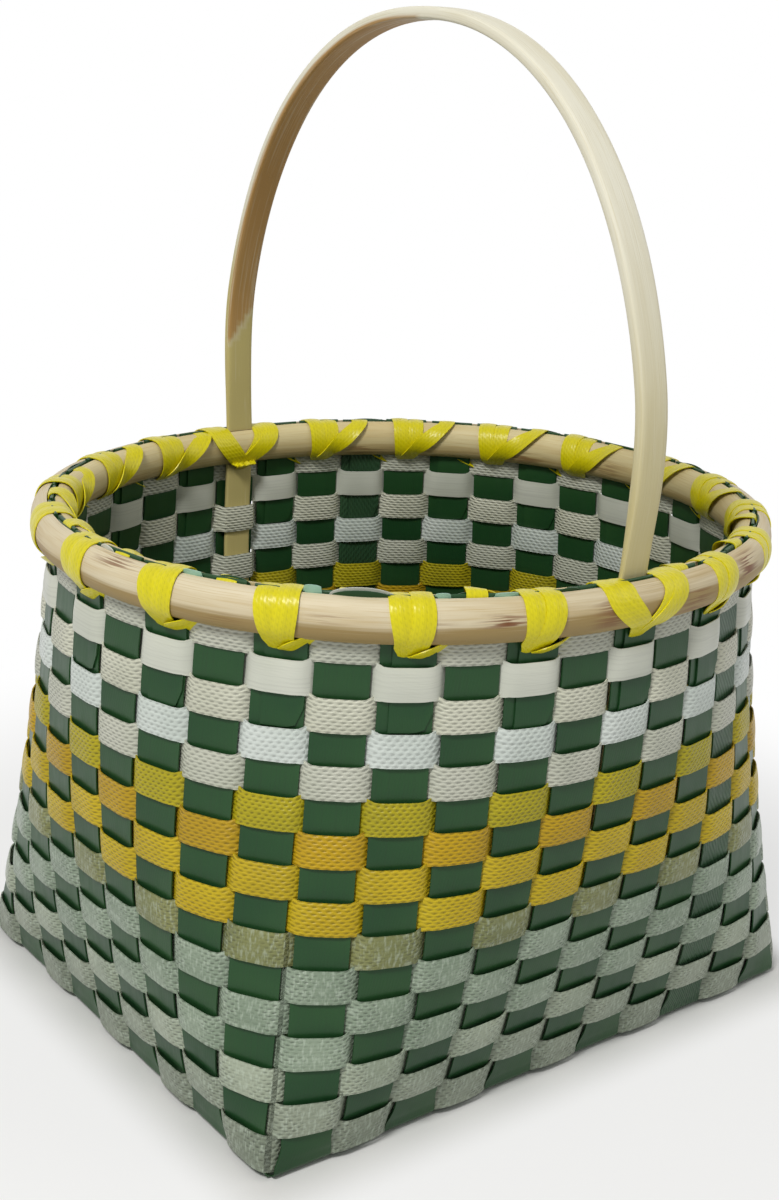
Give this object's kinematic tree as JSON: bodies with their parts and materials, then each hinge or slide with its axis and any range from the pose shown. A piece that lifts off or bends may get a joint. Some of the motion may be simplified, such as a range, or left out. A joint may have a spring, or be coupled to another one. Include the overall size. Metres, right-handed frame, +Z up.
{
  "type": "handwoven strap basket",
  "caption": "Open basket woven from flat straps, with a rectangular foot that rounds into an oval mouth, half-round rim hoops bound by a wound strap, and a fixed bent wooden handle.",
  "frame": {"origin": "centre of the foot on the surface that the basket stands on", "axes": "+Z up, X along the longer side of the foot, Y along the shorter side; the handle stands over the Y axis"},
  "size_m": [0.3834, 0.3514, 0.4933],
  "materials": {
    "green_strap": "smooth green packing strap with a soft sheen",
    "weft_white": "white strap, part smooth and part embossed",
    "weft_lime": "olive-yellow strap with a diamond emboss",
    "weft_yellow": "yellow strap with a fine emboss",
    "weft_olive": "translucent olive strap",
    "weft_mint": "translucent mint strap",
    "weft_grey": "translucent greyish white strap",
    "rim_wood": "pale split wood, unvarnished, with brown streaks",
    "handle_wood": "pale planed wood with eased edges",
    "lashing_strap": "bright yellow strap, glossy, with a fine emboss"
  },
  "bodies": {
    "root": {"strap_long_1": "green_strap", "strap_long_2": "green_strap", "strap_long_3": "green_strap", "strap_long_4": "green_strap", "strap_long_5": "green_strap", "strap_long_6": "green_strap", "strap_long_7": "green_strap", "strap_long_8": "green_strap", "strap_long_9": "green_strap", "strap_long_10": "green_strap", "strap_long_11": "green_strap", "strap_short_1": "green_strap", "strap_short_2": "green_strap", "strap_short_3": "green_strap", "strap_short_4": "green_strap", "strap_short_5": "green_strap", "strap_short_6": "green_strap", "strap_short_7": "green_strap", "strap_short_8": "green_strap", "strap_short_9": "green_strap", "weft_row_1": "weft_white", "weft_row_2": "weft_white", "weft_row_3": "weft_white", "weft_row_4": "weft_white", "weft_row_5": "weft_white", "weft_row_6": "weft_lime", "weft_row_7": "weft_yellow", "weft_row_8": "weft_yellow", "weft_row_9": "weft_yellow", "weft_row_10": "weft_olive", "weft_row_11": "weft_mint", "weft_row_12": "weft_mint", "weft_row_13": "weft_mint", "weft_row_14": "weft_grey", "weft_row_15": "weft_grey", "weft_row_16": "weft_grey", "outer_hoop": "rim_wood", "inner_hoop": "rim_wood", "handle": "handle_wood", "rim_lashing": "lashing_strap"}
  },
  "joints": []
}
